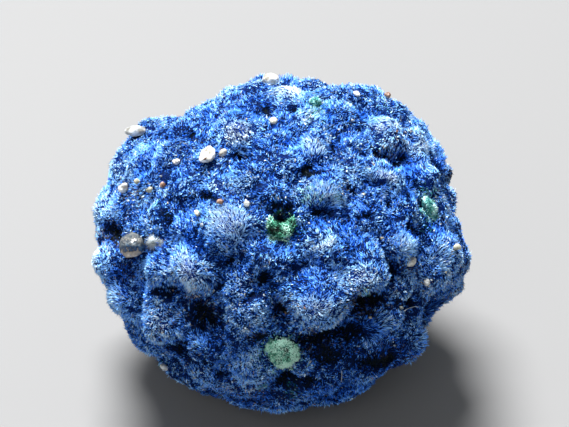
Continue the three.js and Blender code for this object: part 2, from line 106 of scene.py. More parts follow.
# Deep clear blue: the same
DEEP_PATCHES = [
    (-5.6, 0.0, 1.2, 0.7, 1.0), (-0.3, -0.4, 1.5, 0.6, 0.9), (4.6, -0.6, 1.3, 0.8, 0.8),
    (3.5, 8.7, 0.9, 0.6, 0.8),
    (5.3, 8.7, 0.8, 0.5, 0.6), (2.7, 4.8, 1.4, 0.4, 0.6), (8.3, 3.6, 0.8, 1.0, 0.8),
    (5.6, 2.4, 1.2, 0.5, 0.7),
    (-9.3, -2.0, 0.4, 1.9, 0.9), (-5.0, -6.4, 1.1, 0.7, 0.9), (-7.0, -5.2, 0.6, 0.7, 0.5),
    (10.8, 5.0, 0.6, 1.4, 0.6),
    (-6.6, 4.4, 1.2, 0.5, 0.6), (-9.6, 4.6, 0.6, 0.7, 0.5), (-6.7, 7.0, 1.5, 0.5, 0.6),
    (-8.5, 2.0, 1.0, 0.6, 0.4),
    (5.8, -5.7, 1.3, 0.8, 0.7), (-1.6, 9.3, 0.8, 0.4, 0.5),
    (-1.2, 3.7, 1.0, 0.5, 0.7), (-3.2, -1.1, 1.2, 0.5, 0.7), (7.4, 1.2, 1.0, 0.7, 0.5),
    (-0.6, -2.9, 1.2, 0.6, 0.5),
    (2.5, 1.2, 1.0, 0.5, 0.9), (2.1, -2.7, 1.0, 0.6, 0.7), (8.6, 4.9, 0.7, 0.8, 0.9),
    (-8.2, -0.8, 0.8, 0.4, 0.9), (4.4, 0.1, 0.9, 0.4, 0.7), (1.1, 6.6, 0.7, 0.5, 0.6),
    (-2.9, 8.7, 1.3, 0.45, 0.8), (-3.5, 4.9, 0.8, 0.4, 0.6), (-5.4, 2.0, 0.8, 0.4, 0.7),
    (-5.2, 5.8, 0.6, 0.5, 0.6), (-0.7, 6.6, 0.7, 0.4, 0.6), (7.8, -7.6, 1.8, 1.4, 1.0),
    (4.0, -9.9, 3.0, 0.7, 0.8),
    (-2.0, -10.6, 3.0, 0.5, 0.7), (10.4, 0.9, 0.8, 0.6, 0.8), (10.6, -5.0, 1.2, 0.8, 0.7),
    (1.0, 0.6, 0.9, 0.6, 0.8), (4.2, 1.0, 0.9, 0.7, 0.7),
    (-11.1, -1.7, 0.9, 0.9, 1.2),
]
# Pits and gaps, sunk to their depth and painted darker as the shade in them: (right, up, half width, half
# height, depth)
PITS = [
    (-11.2, 0.5, 0.55, 0.75, 0.5), (-7.8, 7.1, 0.4, 0.3, 0.25), (-6.2, 7.5, 0.45, 0.3, 0.2),
    (-2.5, 5.8, 0.6, 0.45, 0.3),
    (-7.8, 1.9, 0.5, 0.3, 0.2), (-4.9, 3.1, 0.7, 0.3, 0.15), (0.8, 8.9, 0.4, 0.35, 0.3),
    (-0.9, 9.2, 0.4, 0.3, 0.2),
    (3.85, 6.85, 0.35, 0.3, 0.35), (5.45, 7.65, 0.3, 0.25, 0.25), (6.6, 6.05, 0.5, 0.4, 0.35),
    (7.7, 5.3, 0.8, 0.3, 0.3),
    (8.4, 5.9, 0.4, 0.3, 0.3), (2.0, 4.9, 1.0, 0.3, 0.3), (2.65, 2.2, 0.75, 0.4, 0.3),
    (6.4, 4.15, 0.8, 0.25, 0.25),
    (5.0, 3.8, 0.5, 0.25, 0.2), (5.9, 2.0, 0.5, 0.35, 0.25), (8.9, 0.75, 0.45, 0.45, 0.3),
    (7.4, 2.7, 0.4, 0.3, 0.2), (-5.4, -4.9, 1.1, 0.9, 0.5), (-8.1, -3.2, 0.9, 0.35, 0.3),
    (-7.0, -6.9, 0.9, 0.45, 0.35),
    (-5.2, -7.85, 0.4, 0.4, 0.3), (-4.1, -8.9, 0.45, 0.35, 0.3), (-3.2, -1.15, 0.35, 0.35, 0.25),
    (-1.15, -2.3, 0.45, 0.45, 0.35), (-1.9, -3.4, 0.5, 0.35, 0.3), (-4.0, -2.9, 0.45, 0.35, 0.4),
    (-0.1, -4.6, 0.75, 0.65, 0.4), (-1.7, -6.2, 0.7, 0.3, 0.2), (0.35, -8.95, 0.6, 0.7, 0.4),
    (7.5, -2.1, 0.4, 0.7, 0.4), (5.9, -3.9, 1.3, 0.7, 0.5), (8.6, -3.95, 0.6, 0.4, 0.4),
    (2.6, -6.3, 1.6, 0.55, 0.4),
    (4.7, -6.1, 0.9, 0.6, 0.4), (6.4, -8.0, 1.3, 0.6, 0.15), (3.2, -7.6, 1.5, 0.5, 0.2),
    (-0.6, 2.9, 0.5, 0.4, 0.2), (0.5, 2.6, 0.9, 0.35, 0.3), (-9.0, 4.9, 0.4, 0.25, 0.2),
    (1.9, -9.2, 0.9, 0.25, 0.15),
]
# Places that stand out further than on the CAD model: (right, up, half width, half height, height)
RAISED = [
    (-12.1, 1.2, 0.8, 1.4, 0.6), (-12.5, -1.2, 0.6, 1.0, 0.25), (1.1, -0.8, 0.9, 0.6, 0.3),
    (3.9, 2.2, 0.6, 0.4, 0.25), (7.4, 6.7, 0.8, 0.5, 0.25), (1.1, 4.8, 0.7, 0.4, 0.15),
    (6.0, 10.3, 1.3, 0.8, 0.4), (10.8, 4.9, 0.9, 0.7, 0.6), (12.4, -1.0, 0.6, 0.9, 0.25),
    (8.2, 9.0, 1.0, 0.8, 0.4), (9.5, 7.9, 1.0, 0.9, 0.45),
]
# Green tint and brown stain: (right, up, half width, half height, how much)
GREENED_PATCHES = [
    (-0.1, 0.25, 0.9, 0.35, 0.9), (9.9, 3.6, 0.4, 0.5, 0.7), (9.8, 1.2, 0.4, 0.4, 0.6),
    (1.7, 3.2, 0.7, 0.4, 0.6), (3.9, 3.0, 0.4, 0.3, 0.5), (-1.3, -9.6, 0.5, 0.3, 0.7),
    (0.8, -9.7, 0.6, 0.4, 0.6),
    (-8.2, -8.3, 0.5, 0.4, 0.5), (5.65, -3.05, 0.35, 0.25, 1.0), (7.0, 9.2, 0.6, 0.4, 0.3),
    (2.4, 9.2, 0.7, 0.7, 0.5),
    (9.8, 2.5, 0.6, 0.9, 0.5), (0.0, -7.2, 1.5, 1.3, 0.4), (0.1, 1.2, 1.1, 0.9, 0.6),
    (-8.4, 2.5, 0.3, 0.3, 0.6),
]
STAINED_PATCHES = [
    (-5.8, -3.5, 0.9, 0.5, 0.7), (-7.3, -4.9, 0.5, 0.4, 0.4), (5.7, -3.9, 1.4, 0.8, 0.9),
    (0.0, -4.5, 0.7, 0.7, 0.8),
    (-1.6, -6.2, 0.7, 0.4, 0.6), (-5.2, -4.8, 1.1, 0.9, 0.9), (6.6, 6.1, 0.6, 0.5, 0.6),
    (7.7, 6.2, 1.0, 0.5, 0.4),
    (4.6, 3.8, 0.9, 0.4, 0.3), (-2.1, -2.4, 0.9, 0.4, 0.3), (-10.2, 3.4, 0.8, 0.8, 0.5),
    (2.5, -6.0, 1.4, 0.4, 0.5),
    (8.5, -1.6, 0.7, 0.4, 0.5), (9.6, -2.7, 0.6, 0.4, 0.4), (-3.9, 9.0, 0.5, 0.3, 0.4),
    (8.1, 7.2, 0.5, 0.4, 0.4), (0.05, 2.0, 0.6, 0.6, 1.0), (-11.3, 0.4, 0.7, 0.8, 0.7),
    (-10.6, -1.7, 0.9, 0.9, 0.35), (-8.3, -5.6, 0.9, 0.8, 0.3),
    (7.6, -7.6, 1.8, 1.2, 0.45), (2.8, -7.0, 1.2, 0.9, 0.6), (-1.5, -10.1, 3.5, 0.7, 0.35),
]
# Tufts of longer crystals that radiate from one place: (right, up, radius, length)
TUFTS = [
    (-3.4, 1.2, 1.7, 0.42), (2.7, 3.0, 1.6, 0.40), (8.4, 0.0, 1.2, 0.45), (6.2, -5.6, 1.7, 0.48),
    (10.6, -1.0, 1.4, 0.34), (-11.0, -3.4, 1.2, 0.34), (9.4, -6.6, 1.5, 0.36), (11.0, 5.6, 1.2, 0.34),
    (2.3, 6.3, 1.0, 0.32), (-6.3, -1.6, 1.0, 0.32), (2.2, -4.2, 1.5, 0.34), (7.0, 4.4, 1.2, 0.30),
]
FAR_TUFTS = 34

# Quartz specks: (right, up, size, kind), where kind is the colour's place between rust, 0, and white, 1
SPECKS = [
    (-2.3, 8.35, 0.3, 0.5), (4.8, 10.7, 0.3, 0.9), (7.8, 7.5, 0.32, 0.1), (3.9, 7.6, 0.25, 0.9),
    (5.5, 3.3, 0.36, 0.6),
    (3.2, 1.5, 0.3, 0.9), (3.9, 2.0, 0.22, 0.9), (11.5, 2.0, 0.3, 0.9), (10.2, 0.85, 0.3, 0.95),
    (6.8, 0.45, 0.34, 0.5),
    (0.25, -4.6, 0.34, 0.3), (6.0, -4.9, 0.32, 0.6), (4.1, -9.6, 0.36, 0.7), (-9.3, -2.3, 0.22, 0.95),
    (-7.1, -2.45, 0.22, 0.95), (-7.2, -3.1, 0.28, 0.3), (-4.8, -3.05, 0.3, 0.8), (-2.4, -3.4, 0.28, 0.7),
    (-6.4, -4.4, 0.28, 0.9), (-2.25, 3.2, 0.26, 0.95), (-0.45, 3.4, 0.24, 0.95), (0.3, 3.1, 0.2, 0.95),
    (-0.9, 1.7, 0.24, 0.9), (-0.7, 0.1, 0.26, 0.9), (1.9, 1.4, 0.2, 0.95), (-5.2, -1.3, 0.32, 0.8),
    (-5.0, -1.7, 0.22, 0.8), (2.8, 9.4, 0.4, 0.75), (4.75, 8.25, 0.3, 0.95), (0.95, 5.6, 0.34, 0.55),
    (-4.3, 6.6, 0.34, 0.8), (-3.6, 6.7, 0.26, 0.8), (-3.4, 5.5, 0.24, 0.9), (-2.9, 6.3, 0.22, 0.7),
    (-8.0, 4.5, 0.26, 0.9), (-7.0, 5.9, 0.24, 0.95), (-10.7, 4.4, 0.36, 0.7), (-9.9, 2.9, 0.3, 0.5),
    (-5.9, 1.6, 0.26, 0.9), (-3.1, 2.6, 0.22, 0.6), (-2.0, 2.2, 0.22, 0.8), (6.2, 5.3, 0.24, 0.3),
    (7.9, 4.9, 0.2, 0.9),
    (11.9, -0.6, 0.26, 0.8), (10.0, -2.4, 0.26, 0.9), (7.9, -0.9, 0.22, 0.9), (7.2, 0.4, 0.3, 0.85),
    (5.0, 1.1, 0.22, 0.9), (6.7, 2.9, 0.2, 0.9), (-1.1, -3.4, 0.22, 0.9), (-3.0, -4.3, 0.2, 0.8),
    (0.2, -2.3, 0.2, 0.7),
    (2.0, -7.9, 0.24, 0.6), (-5.8, -9.0, 0.26, 0.8), (-3.4, -8.1, 0.24, 0.7), (7.6, -6.8, 0.22, 0.8),
    (-5.25, 1.3, 0.5, 0.6),
]
SCATTERED_SPECKS = 190
# A dark speck is painted as the shade in the pierced grain's hole
GRAIN_HOLE_SHADE = (-5.05, 5.72)  # the dark hole in the pierced grain, as (right, up)

# Light and dark places in the malachite pocket and on the disc: partly the malachite's own flecks, partly
# painted shade in the pocket's hollow and painted light on the disc and the pocket's lower rim: (right, up,
# radius, how much lighter)
MALACHITE_TINTS_AND_PAINTED_LIGHT = [
    (-0.4, 0.85, 0.24, -0.8), (0.0, 0.55, 0.18, -0.7), (0.05, 1.0, 0.2, -0.6), (-0.7, 0.95, 0.18, -0.5),
    (0.3, 0.95, 0.3, 0.7), (0.35, 1.35, 0.2, 0.5), (-0.85, 1.25, 0.3, 0.2), (-0.8, 0.5, 0.4, 0.4),
    (-0.2, 0.15, 0.45, 0.8), (0.1, 1.7, 0.5, -0.8), (0.3, -6.75, 0.45, 0.4), (0.85, -7.6, 0.4, 0.4),
    (-0.3, -7.3, 0.2, -0.5), (0.35, -7.6, 0.2, -0.4), (-0.6, -7.0, 0.4, 0.3), (0.1, -8.0, 0.4, 0.25),
    (0.75, 1.35, 0.25, -0.4), (0.1, -7.3, 1.5, 0.4), (0.6, -6.9, 0.5, 0.25), (9.95, 2.3, 1.3, 0.05),
]
# Fibres of dust that lie on the crystals, each a row of places: (right, up)
STRAY_FIBRES = [
    [(8.15, -4.45), (8.5, -4.25), (8.9, -4.15), (9.15, -4.2)],
    [(4.02, -8.42), (4.05, -8.75), (4.0, -9.15)],
]


# Numbers scattered over space, the same each time

def hashed(cells, salt):
    """A number from 0 to 1 for each whole-numbered place."""
    x, y, z = (cells[..., k].astype(np.int64).astype(np.uint32) for k in range(3))
    h = x * np.uint32(374761393) + y * np.uint32(668265263) + z * np.uint32(2246822519)
    h = h + np.uint32(salt * 3266489917 % 2**32)
    h = (h ^ (h >> np.uint32(13))) * np.uint32(1274126177)
    h = (h ^ (h >> np.uint32(16))) * np.uint32(2654435769)
    return (h ^ (h >> np.uint32(15))) / 2**32


def noise(points, size, salt=0):
    """Smooth noise from -1 to 1 whose spots are about size across."""
    p = points / size
    base = np.floor(p).astype(np.int64)
    f = p - base
    f = f * f * (3 - 2 * f)
    total = np.zeros(len(points))
    for corner in np.ndindex(2, 2, 2):
        weight = np.prod([f[:, k] if corner[k] else 1 - f[:, k] for k in range(3)], axis=0)
        total += weight * hashed(base + np.array(corner), salt)
    return total * 2 - 1


def rough_noise(points, size, octaves, salt=0):
    """Noise with finer noise on it, each half as strong."""
    total = sum(noise(points, size / 2**k, salt + k) / 2**k for k in range(octaves))
    return total / (2 - 2 ** (1 - octaves))


def noise_vectors(points, size, salt=0):
    return np.stack([noise(points, size, salt + k) for k in range(3)], -1)


def nearest_seed(points, size, salt=0):
    """The distance to the nearest of points scattered one to a cell, and that point."""
    base = np.floor(points / size).astype(np.int64)
    nearest = np.full(len(points), np.inf)
    where = np.zeros_like(points)
    for offset in np.ndindex(3, 3, 3):
        cell = base + np.array(offset) - 1
        jitter = np.stack([hashed(cell, salt + 11 + k) for k in range(3)], -1)
        seed = (cell + 0.1 + 0.8 * jitter) * size
        d = np.linalg.norm(seed - points, axis=1)
        where[d < nearest] = seed[d < nearest]
        nearest = np.minimum(nearest, d)
    return nearest, where


def scattered_spots(points, size, share, salt):
    """Strength from 0 to 1 of round spots of uneven size, of which only a share is there."""
    distance, seed = nearest_seed(points, size, salt)
    lot = seed * 1000
    radius = size * (0.14 + 0.22 * hashed(lot, salt + 1))
    return np.exp(-((distance / radius) ** 2)) * (hashed(lot, salt + 2) < share)


def unit(vectors):
    return vectors / np.maximum(np.linalg.norm(vectors, axis=-1, keepdims=True), 1e-12)


def ramped(values, low, high):
    """0 up to low, 1 from high on, and smooth between."""
    t = np.clip((values - low) / (high - low), 0, 1)
    return t * t * (3 - 2 * t)


# Meshes from arrays

def new_object(name, points, faces, materials=(), uv=None):
    """An object from points in millimetres and faces of one size, with UV maps given per face corner."""
    mesh = bpy.data.meshes.new(name)
    mesh.vertices.add(len(points))
    mesh.vertices.foreach_set("co", (points * MM).astype(np.float32).ravel())
    mesh.loops.add(faces.size)
    mesh.loops.foreach_set("vertex_index", faces.astype(np.int32).ravel())
    mesh.polygons.add(len(faces))
    mesh.polygons.foreach_set("loop_start", np.arange(len(faces), dtype=np.int32) * faces.shape[1])
    for map_name, places in (uv or {}).items():
        layer = mesh.uv_layers.new(name=map_name)
        layer.data.foreach_set("uv", places.astype(np.float32).ravel())
    mesh.update(calc_edges=True)
    mesh.validate()
    for material in materials:
        mesh.materials.append(material)
    obj = bpy.data.objects.new(name, mesh)
    bpy.context.scene.collection.objects.link(obj)
    return obj


def add_value(obj, name, values):
    attribute = obj.data.attributes.new(name, "FLOAT", "POINT")
    attribute.data.foreach_set("value", values.astype(np.float32))


# Places on the CAD model

def mesh_of(node):
    mesh = frame["nodes"][node].data
    points = np.array([tuple(v.co / MM) for v in mesh.vertices])
    faces = np.array([tuple(p.vertices) for p in mesh.polygons])
    return points, faces


def tree_of(node):
    points, faces = mesh_of(node)
    return BVHTree.FromPolygons(points.tolist(), faces.tolist())


cad_tree = tree_of("azurite_nodule")


def seen_at(right, up, tree=cad_tree):
    """The point of a surface that shows at this place, brought in to its edge if it lies beside it."""
    eye = BALL_MIDDLE + TO_EYE * EYE_DISTANCE
    for share in np.arange(1.0, 0.8, -0.004):
        target = BALL_MIDDLE + (RIGHT * right + UP * up) * share
        hit = tree.ray_cast(Vector(eye), Vector(unit(target - eye)))
        if hit[0] is not None:
            return np.array(hit[0])
    raise ValueError(f"nothing shows at {right}, {up}")


def as_seen(places):
    """Places as the eye sees them: millimetres right and up, and how far towards the eye."""
    from_middle = places - BALL_MIDDLE
    nearer = from_middle @ TO_EYE
    scale = EYE_DISTANCE / (EYE_DISTANCE - nearer)
    return from_middle @ RIGHT * scale, from_middle @ UP * scale, nearer


def patch_strength(places, patches, furthest=-1.5):
    """How strong the strongest of the patches is at each place that isn't too far from the eye."""
    right, up, nearer = as_seen(places)
    strength = np.zeros(len(places))
    for x, y, half_width, half_height, much in patches:
        away = ((right - x) / half_width) ** 2 + ((up - y) / half_height) ** 2
        strength = np.maximum(strength, much * np.exp(-(away ** 1.5)))
    return strength * (nearer > furthest)


# The azurite's ground: a grid of directions from the ball's middle, cast onto the CAD model

def direction_grid(n):
    """Directions, squares of them, and a flat map with each of the six sides in a tile of its own."""
    line = np.tan(np.linspace(-1, 1, n + 1) * math.pi / 4)
    a, b = np.meshgrid(line, line, indexing="ij")
    one = np.ones_like(a)
    sides = [(one, a, b), (-one, b, a), (b, one, a), (a, -one, b), (a, b, one), (b, a, -one)]
    i, j = (x.ravel() for x in np.meshgrid(np.arange(n), np.arange(n), indexing="ij"))
    steps = [(0, 0), (1, 0), (1, 1), (0, 1)]
    points, squares, places = [], [], []
    for k, side in enumerate(sides):
        points.append(np.stack([s.ravel() for s in side], -1))
        squares.append(np.stack([(i + di) * (n + 1) + j + dj for di, dj in steps], -1) + k * (n + 1) ** 2)
        flat = np.stack([np.stack([i + di, j + dj], -1) for di, dj in steps], 1) / n
        flat = 0.5 + (flat - 0.5) * 0.985
        places.append((flat + np.array([k % 3, k // 3])) / np.array([3, 2]))
    points = unit(np.concatenate(points))
    places_on_ball = np.round(points * 1e5).astype(np.int64)
    _, kept, merged = np.unique(places_on_ball, axis=0, return_index=True, return_inverse=True)
    return points[kept], merged.ravel()[np.concatenate(squares)], np.concatenate(places)


directions, squares, square_uv = direction_grid(GRID)
edge_from = np.concatenate([squares.T.ravel(), np.roll(squares, -1, 1).T.ravel()])
edge_to = np.concatenate([np.roll(squares, -1, 1).T.ravel(), squares.T.ravel()])
edge_count = np.bincount(edge_from, minlength=len(directions))


def around(values):
    return np.bincount(edge_from, values[edge_to], len(directions)) / edge_count


def smooth(values, rounds):
    """Averages each value with its neighbours' on the grid."""
    for _ in range(rounds):
        if values.ndim == 1:
            values = 0.4 * values + 0.6 * around(values)
        else:
            values = 0.4 * values + 0.6 * np.stack([around(v) for v in values.T], -1)
    return values


def cast_radii():
    radii = np.zeros(len(directions))
    for k, d in enumerate(directions):
        hit = cad_tree.ray_cast(Vector(BALL_MIDDLE + d * 40), Vector(-d))
        radii[k] = (hit[0] - Vector(BALL_MIDDLE)).length if hit[0] else radii[k - 1]
    return radii


def points_at(radii):
    points = BALL_MIDDLE + directions * radii[:, None]
    points[:, 2] = np.maximum(points[:, 2], 0.0)
    return points


def normals_of(points):
    a, b, c, d = (points[squares[:, k]] for k in range(4))
    across = np.cross(c - a, d - b)
    total = [np.bincount(squares.ravel(), np.repeat(across[:, k], 4), len(points)) for k in range(3)]
    return unit(np.stack(total, -1))


def way_up(heights, points):
    """The steepest way up at each point of the grid, short where it is level."""
    step = points[edge_to] - points[edge_from]
    rise = (heights[edge_to] - heights[edge_from]) / np.maximum((step ** 2).sum(1), 1e-9)
    total = [np.bincount(edge_from, rise * step[:, k], len(points)) for k in range(3)]
    return np.stack(total, -1) * 2 / edge_count[:, None]


cad_radii = smooth(cast_radii(), 2)
cad_points = points_at(cad_radii)
relief = cad_radii - smooth(cad_radii, 120)  # how far a place stands out of the ball around it
bottom = cad_points[:, 2] < 0.15
nearer = as_seen(cad_points)[2]
near_side = ramped(nearer, -2.5, 1.0)

# Patches have uneven edges
uneven = cad_points + 0.34 * noise_vectors(cad_points, 0.8, 60) + 0.2 * noise_vectors(cad_points, 0.4, 64)
pits = patch_strength(uneven, [(*p[:4], 1.0) for p in PITS])
pit_depth = patch_strength(uneven, PITS)
far_pits = scattered_spots(uneven, 2.1, 0.5, 80) * (1 - near_side)
pits = np.maximum(pits, far_pits)
pit_depth = np.maximum(pit_depth, 0.35 * far_pits)
# Where the felt is paler: partly its own colour, partly painted light
pale = np.maximum(patch_strength(uneven, PALE_AND_PAINTED_LIGHT_PATCHES),
                  0.8 * scattered_spots(uneven, 3.4, 0.6, 83) * (1 - near_side))
deep = np.maximum(patch_strength(uneven, DEEP_PATCHES),
                  0.8 * scattered_spots(uneven, 3.1, 0.5, 86) * (1 - near_side))
greened = np.maximum(patch_strength(uneven, GREENED_PATCHES),
                     0.7 * scattered_spots(uneven, 3.9, 0.25, 89) * (1 - near_side))
stained = np.maximum(patch_strength(uneven, STAINED_PATCHES),
                     0.7 * scattered_spots(uneven, 3.3, 0.3, 92) * (1 - near_side))

# Small lumps on the CAD model's lumps
lump_distance, lump_seed = nearest_seed(cad_points + 0.2 * noise_vectors(cad_points, 0.6, 70), 1.0, 3)
dome = 1 - np.clip(lump_distance / 0.8, 0, 1) ** 2
radii = cad_radii - GROUND_INSET + 0.15 * (dome - 0.5) + 0.10 * noise(cad_points, 0.5, 20) - pit_depth
radii += patch_strength(cad_points, RAISED, -4.0)
points = points_at(np.where(bottom, cad_radii, radii))
normals = normals_of(points)
soft_normals = unit(smooth(normals, 4))
downhill = -way_up(smooth(radii, 2), points)

# How pale the azurite is, from 0 to 1: pale on the tops as painted light, deep in the crevices as painted
# shade
tone = (0.505 + 0.14 * np.clip(relief / 0.5, -1, 1) + 0.08 * (dome - 0.5)
        + 0.10 * rough_noise(cad_points, 2.6, 3, 31))
# Pale patches lift the tone, deep patches lower it, and pits are painted darker as the shade in them
tone += 0.4 * pale - 0.16 * deep - 0.55 * pits
# Painted shade: the azurite is darker towards the bottom, except in pale patches
painted_low_shade = ramped(-as_seen(cad_points)[1], 3.0, 7.0)
tone -= 0.07 * painted_low_shade * (1 - pale)


# Materials

def linear(red, green, blue):
    """A display colour of 0 to 255 as the renderer's own numbers."""
    return tuple((c / 255 / 12.92) if c < 11 else ((c / 255 + 0.055) / 1.055) ** 2.4
                 for c in (red, green, blue))


AZURITE_TONES = [
    (0.0, linear(0, 9, 13)),
    (0.2, linear(0, 28, 90)),
    (0.4, linear(34, 108, 232)),
    (0.58, linear(94, 162, 248)),
    (0.75, linear(134, 192, 248)),
    (0.9, linear(164, 210, 248)),
    (1.0, linear(204, 228, 250)),
]
GREENED_TONES = [
    (0.0, linear(2, 16, 18)),
    (0.2, linear(8, 48, 58)),
    (0.4, linear(24, 96, 110)),
    (0.58, linear(62, 148, 148)),
    (0.75, linear(116, 192, 176)),
    (0.9, linear(160, 218, 196)),
    (1.0, linear(220, 242, 226)),
]
STAINED_TONES = [
    (0.0, linear(8, 8, 10)),
    (0.2, linear(30, 28, 34)),
    (0.4, linear(62, 62, 78)),
    (0.58, linear(104, 104, 114)),
    (0.75, linear(146, 142, 138)),
    (0.9, linear(186, 178, 164)),
    (1.0, linear(226, 218, 204)),
]
MALACHITE_TONES = [
    (0.0, linear(2, 20, 18)),
    (0.25, linear(20, 80, 64)),
    (0.5, linear(84, 164, 134)),
    (0.75, linear(146, 224, 198)),
    (1.0, linear(212, 254, 238)),
]
BLUE_GREEN_TONES = [
    (0.0, linear(4, 26, 34)),
    (0.25, linear(20, 84, 96)),
    (0.5, linear(76, 158, 170)),
    (0.75, linear(136, 206, 216)),
    (1.0, linear(206, 240, 248)),
]
QUARTZ_TONES = [
    (0.0, linear(38, 26, 20)),
    (0.12, linear(118, 70, 48)),
    (0.3, linear(146, 120, 94)),
    (0.5, linear(170, 164, 140)),
    (0.75, linear(132, 144, 150)),
    (1.0, linear(182, 192, 198)),
]
# Bands up the great grain; the paler greys near its top are partly a painted highlight
GREAT_QUARTZ_TONES = [
    (0.0, linear(214, 206, 192)),
    (0.06, linear(176, 166, 156)),
    (0.26, linear(142, 132, 122)),
    (0.33, linear(20, 32, 50)),
    (0.4, linear(30, 60, 96)),
    (0.5, linear(48, 76, 102)),
    (0.58, linear(92, 100, 104)),
    (0.66, linear(34, 46, 60)),
    (0.76, linear(108, 108, 104)),
    (0.86, linear(42, 54, 66)),
    (1.0, linear(90, 94, 94)),
]
AZURITE_KINDS = [AZURITE_TONES, GREENED_TONES, STAINED_TONES]


def on_strip(kind, tone, kinds):
    """Where a colour lies on a strip that holds the tones of several kinds, one after the other."""
    return (kind + 0.03 + 0.94 * np.clip(tone, 0, 1)) / kinds


def strip_of(kinds):
    return [(float(on_strip(k, place, len(kinds))), colour)
            for k, tones in enumerate(kinds) for place, colour in tones]


def node_tree(name):
    material = bpy.data.materials.new(name)
    material.use_nodes = True
    tree = material.node_tree
    return material, tree, tree.nodes["Principled BSDF"]


def ramp(tree, stops, source):
    node = tree.nodes.new("ShaderNodeValToRGB")
    elements = node.color_ramp.elements
    while len(elements) < len(stops):
        elements.new(0.5)
    for element, (place, colour) in zip(elements, stops):
        element.position = place
        element.color = (*colour, 1)
    tree.links.new(source, node.inputs["Fac"])
    return node.outputs["Color"]


def between(tree, source, low, high):
    """The source's 0 to 1 as low to high."""
    node = tree.nodes.new("ShaderNodeMapRange")
    node.inputs["To Min"].default_value = low
    node.inputs["To Max"].default_value = high
    tree.links.new(source, node.inputs["Value"])
    return node.outputs["Result"]


def bump(tree, shader, height, strength, distance):
    node = tree.nodes.new("ShaderNodeBump")
    node.inputs["Strength"].default_value = strength
    node.inputs["Distance"].default_value = distance * MM
    tree.links.new(height, node.inputs["Height"])
    tree.links.new(node.outputs["Normal"], shader.inputs["Normal"])


def crystal_material(name, kinds, roughness, root_shade_colour):
    """Each crystal has its own colour, darker towards the root as painted shade between the crystals, and
    growth steps along its length.
    """
    material, tree, shader = node_tree(name)
    places = tree.nodes.new("ShaderNodeUVMap")
    places.uv_map = "crystal"
    apart = tree.nodes.new("ShaderNodeSeparateXYZ")
    tree.links.new(places.outputs["UV"], apart.inputs["Vector"])
    colour = ramp(tree, strip_of(kinds), apart.outputs["X"])
    # Painted shade: the colour is multiplied darker towards each crystal's root
    root = ramp(tree, [(0.0, root_shade_colour), (0.42, (1, 1, 1))], apart.outputs["Y"])
    painted_root_shade = tree.nodes.new("ShaderNodeMix")
    painted_root_shade.data_type = "RGBA"
    painted_root_shade.blend_type = "MULTIPLY"
    painted_root_shade.inputs[0].default_value = 1.0
    tree.links.new(colour, painted_root_shade.inputs[6])
    tree.links.new(root, painted_root_shade.inputs[7])
    tree.links.new(painted_root_shade.outputs[2], shader.inputs["Base Color"])
    steps = tree.nodes.new("ShaderNodeTexNoise")
    steps.inputs["Scale"].default_value = 9
    tree.links.new(places.outputs["UV"], steps.inputs["Vector"])
    tree.links.new(between(tree, steps.outputs["Fac"], *roughness), shader.inputs["Roughness"])
    bump(tree, shader, steps.outputs["Fac"], 0.3, 0.02)
    shader.inputs["Specular IOR Level"].default_value = 0.06
    return material


def ground_material(name, tones, roughness):
    """The ground that the crystals grow from, painted dark as the shade between the crystals."""
    material, tree, shader = node_tree(name)
    value = tree.nodes.new("ShaderNodeAttribute")
    value.attribute_name = "tone"
    where = tree.nodes.new("ShaderNodeTexCoord")
    grain = tree.nodes.new("ShaderNodeTexNoise")
    grain.inputs["Scale"].default_value = 9000
    grain.inputs["Detail"].default_value = 3
    tree.links.new(where.outputs["Object"], grain.inputs["Vector"])
    total = tree.nodes.new("ShaderNodeMath")
    total.operation = "MULTIPLY_ADD"
    total.inputs[1].default_value = 0.4
    tree.links.new(grain.outputs["Fac"], total.inputs[0])
    tree.links.new(value.outputs["Fac"], total.inputs[2])
    tree.links.new(ramp(tree, tones, total.outputs[0]), shader.inputs["Base Color"])
    tree.links.new(between(tree, grain.outputs["Fac"], *roughness), shader.inputs["Roughness"])
    bump(tree, shader, grain.outputs["Fac"], 0.8, 0.06)
    shader.inputs["Specular IOR Level"].default_value = 0.05
    return material


def great_quartz_material(name, low, high):
    """A clear pebble in bands across its height: a brown foot, the azurite showing through, and pale above,
    partly as a painted highlight.
    """
    material, tree, shader = node_tree(name)
    where = tree.nodes.new("ShaderNodeTexCoord")
    cloud = tree.nodes.new("ShaderNodeTexNoise")
    cloud.inputs["Scale"].default_value = 3600
    cloud.inputs["Detail"].default_value = 5
    tree.links.new(where.outputs["Object"], cloud.inputs["Vector"])
    along = tree.nodes.new("ShaderNodeVectorMath")
    along.operation = "DOT_PRODUCT"
    along.inputs[1].default_value = UP
    tree.links.new(where.outputs["Object"], along.inputs[0])
    height = tree.nodes.new("ShaderNodeMapRange")
    height.inputs["From Min"].default_value = low * MM
    height.inputs["From Max"].default_value = high * MM
    tree.links.new(along.outputs["Value"], height.inputs["Value"])
    uneven_height = tree.nodes.new("ShaderNodeMath")
    uneven_height.operation = "ADD"
    tree.links.new(height.outputs["Result"], uneven_height.inputs[0])
    tree.links.new(between(tree, cloud.outputs["Fac"], -0.45, 0.45), uneven_height.inputs[1])
    tree.links.new(ramp(tree, GREAT_QUARTZ_TONES, uneven_height.outputs[0]), shader.inputs["Base Color"])
    tree.links.new(between(tree, cloud.outputs["Fac"], 0.3, 0.6), shader.inputs["Roughness"])
    bump(tree, shader, cloud.outputs["Fac"], 1.0, 0.2)
    shader.inputs["Specular IOR Level"].default_value = 0.25
    shader.inputs["Coat Weight"].default_value = 0.3
    shader.inputs["Coat Roughness"].default_value = 0.08
    return material


